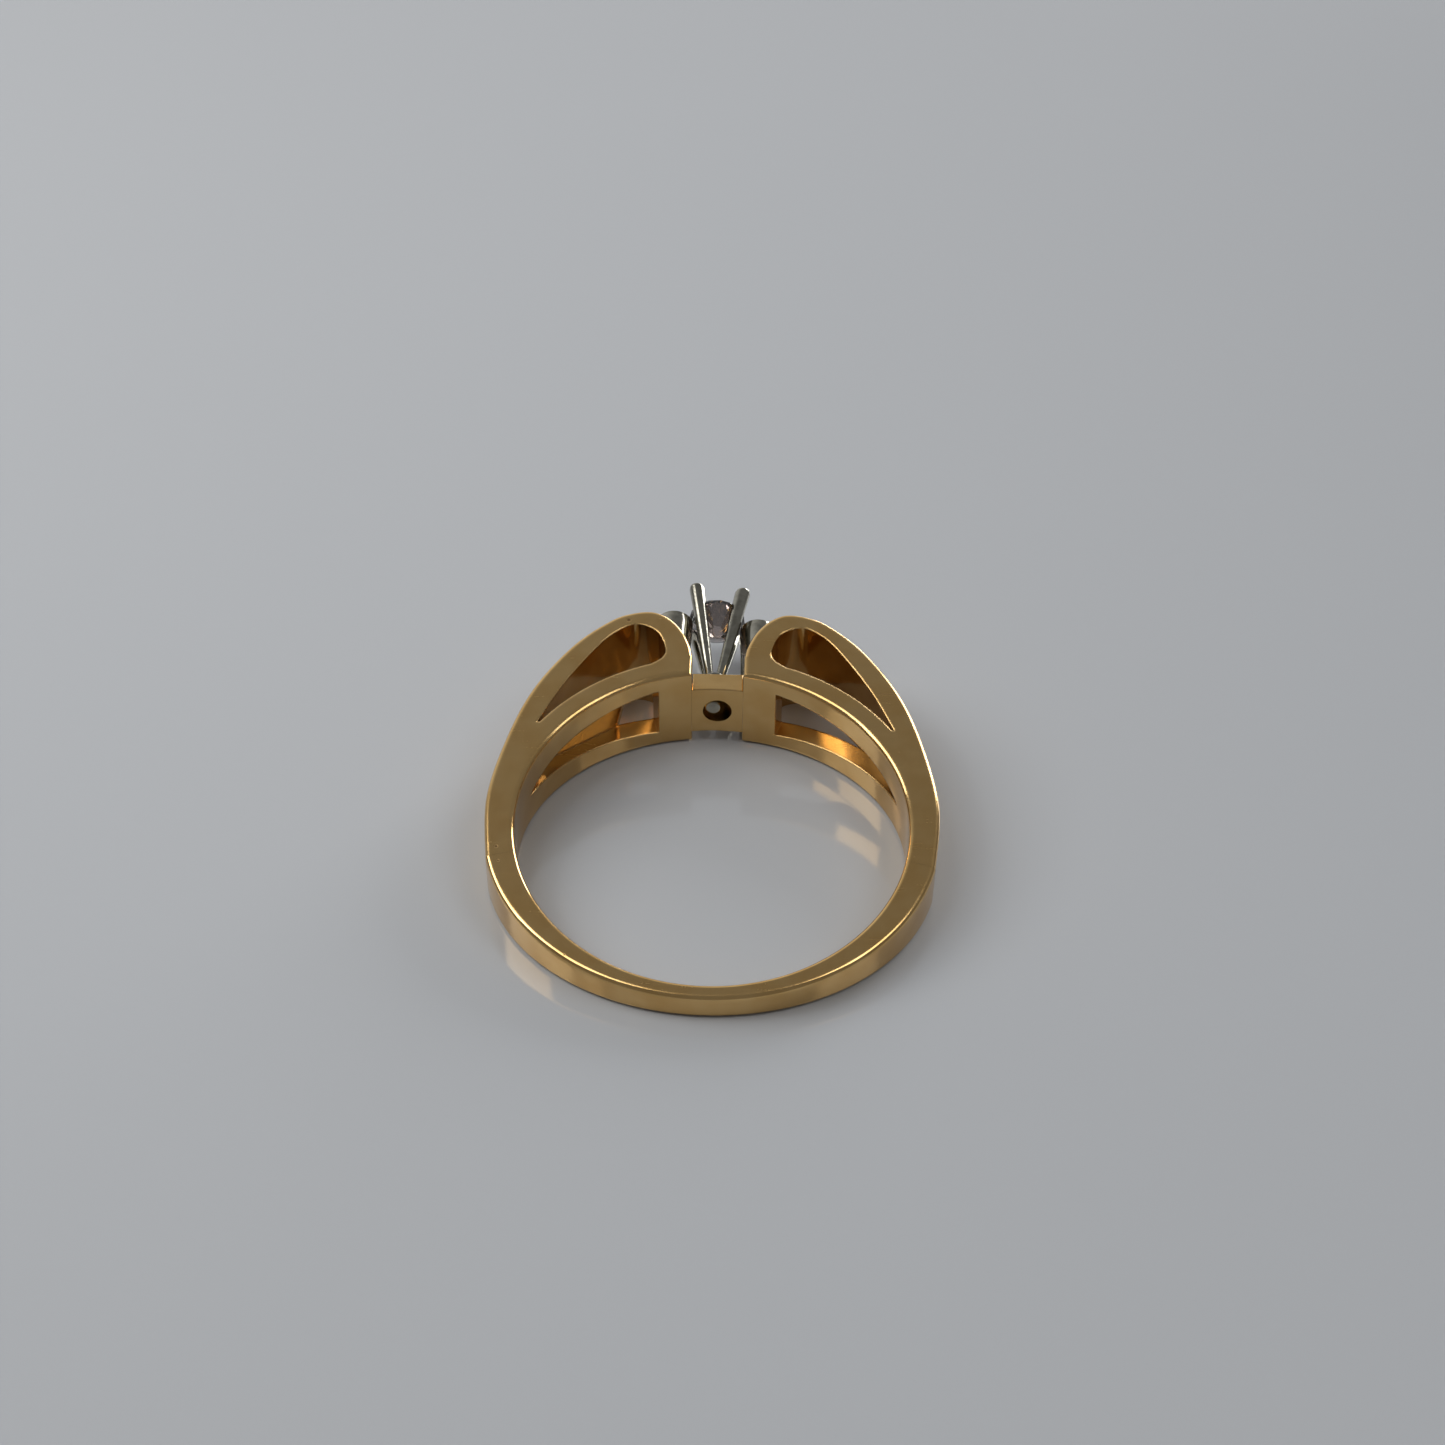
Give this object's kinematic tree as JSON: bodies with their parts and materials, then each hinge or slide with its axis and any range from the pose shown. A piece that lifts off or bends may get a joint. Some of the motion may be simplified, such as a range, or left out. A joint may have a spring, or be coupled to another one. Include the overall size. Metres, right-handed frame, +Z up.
{
  "type": "engagement ring",
  "caption": "Finger ring with open cathedral shoulders, a peg head with claws holding a round brilliant, and small side stones in collets.",
  "frame": {"origin": "centre of the ring's bounding box at the surface it lies on, under the finger hole's head side", "axes": "+Y from the finger hole towards the head and centre stone, +Z up off the surface, close to the finger axis, +X across the ring; the ring lies on its lower side face"},
  "size_m": [0.0192, 0.0246, 0.0048],
  "materials": {
    "yellow_gold": "polished",
    "white_gold": "polished",
    "diamond": "faceted, polished"
  },
  "bodies": {
    "root": {"lower_shank": "yellow_gold", "left_shoulder": "yellow_gold", "right_shoulder": "yellow_gold", "peg_block": "yellow_gold", "head_peg": "white_gold", "upper_left_prong": "white_gold", "upper_right_prong": "white_gold", "lower_left_prong": "white_gold", "lower_right_prong": "white_gold", "left_collet": "white_gold", "right_collet": "white_gold", "centre_stone": "diamond", "left_side_stone": "diamond", "right_side_stone": "diamond"}
  },
  "joints": []
}
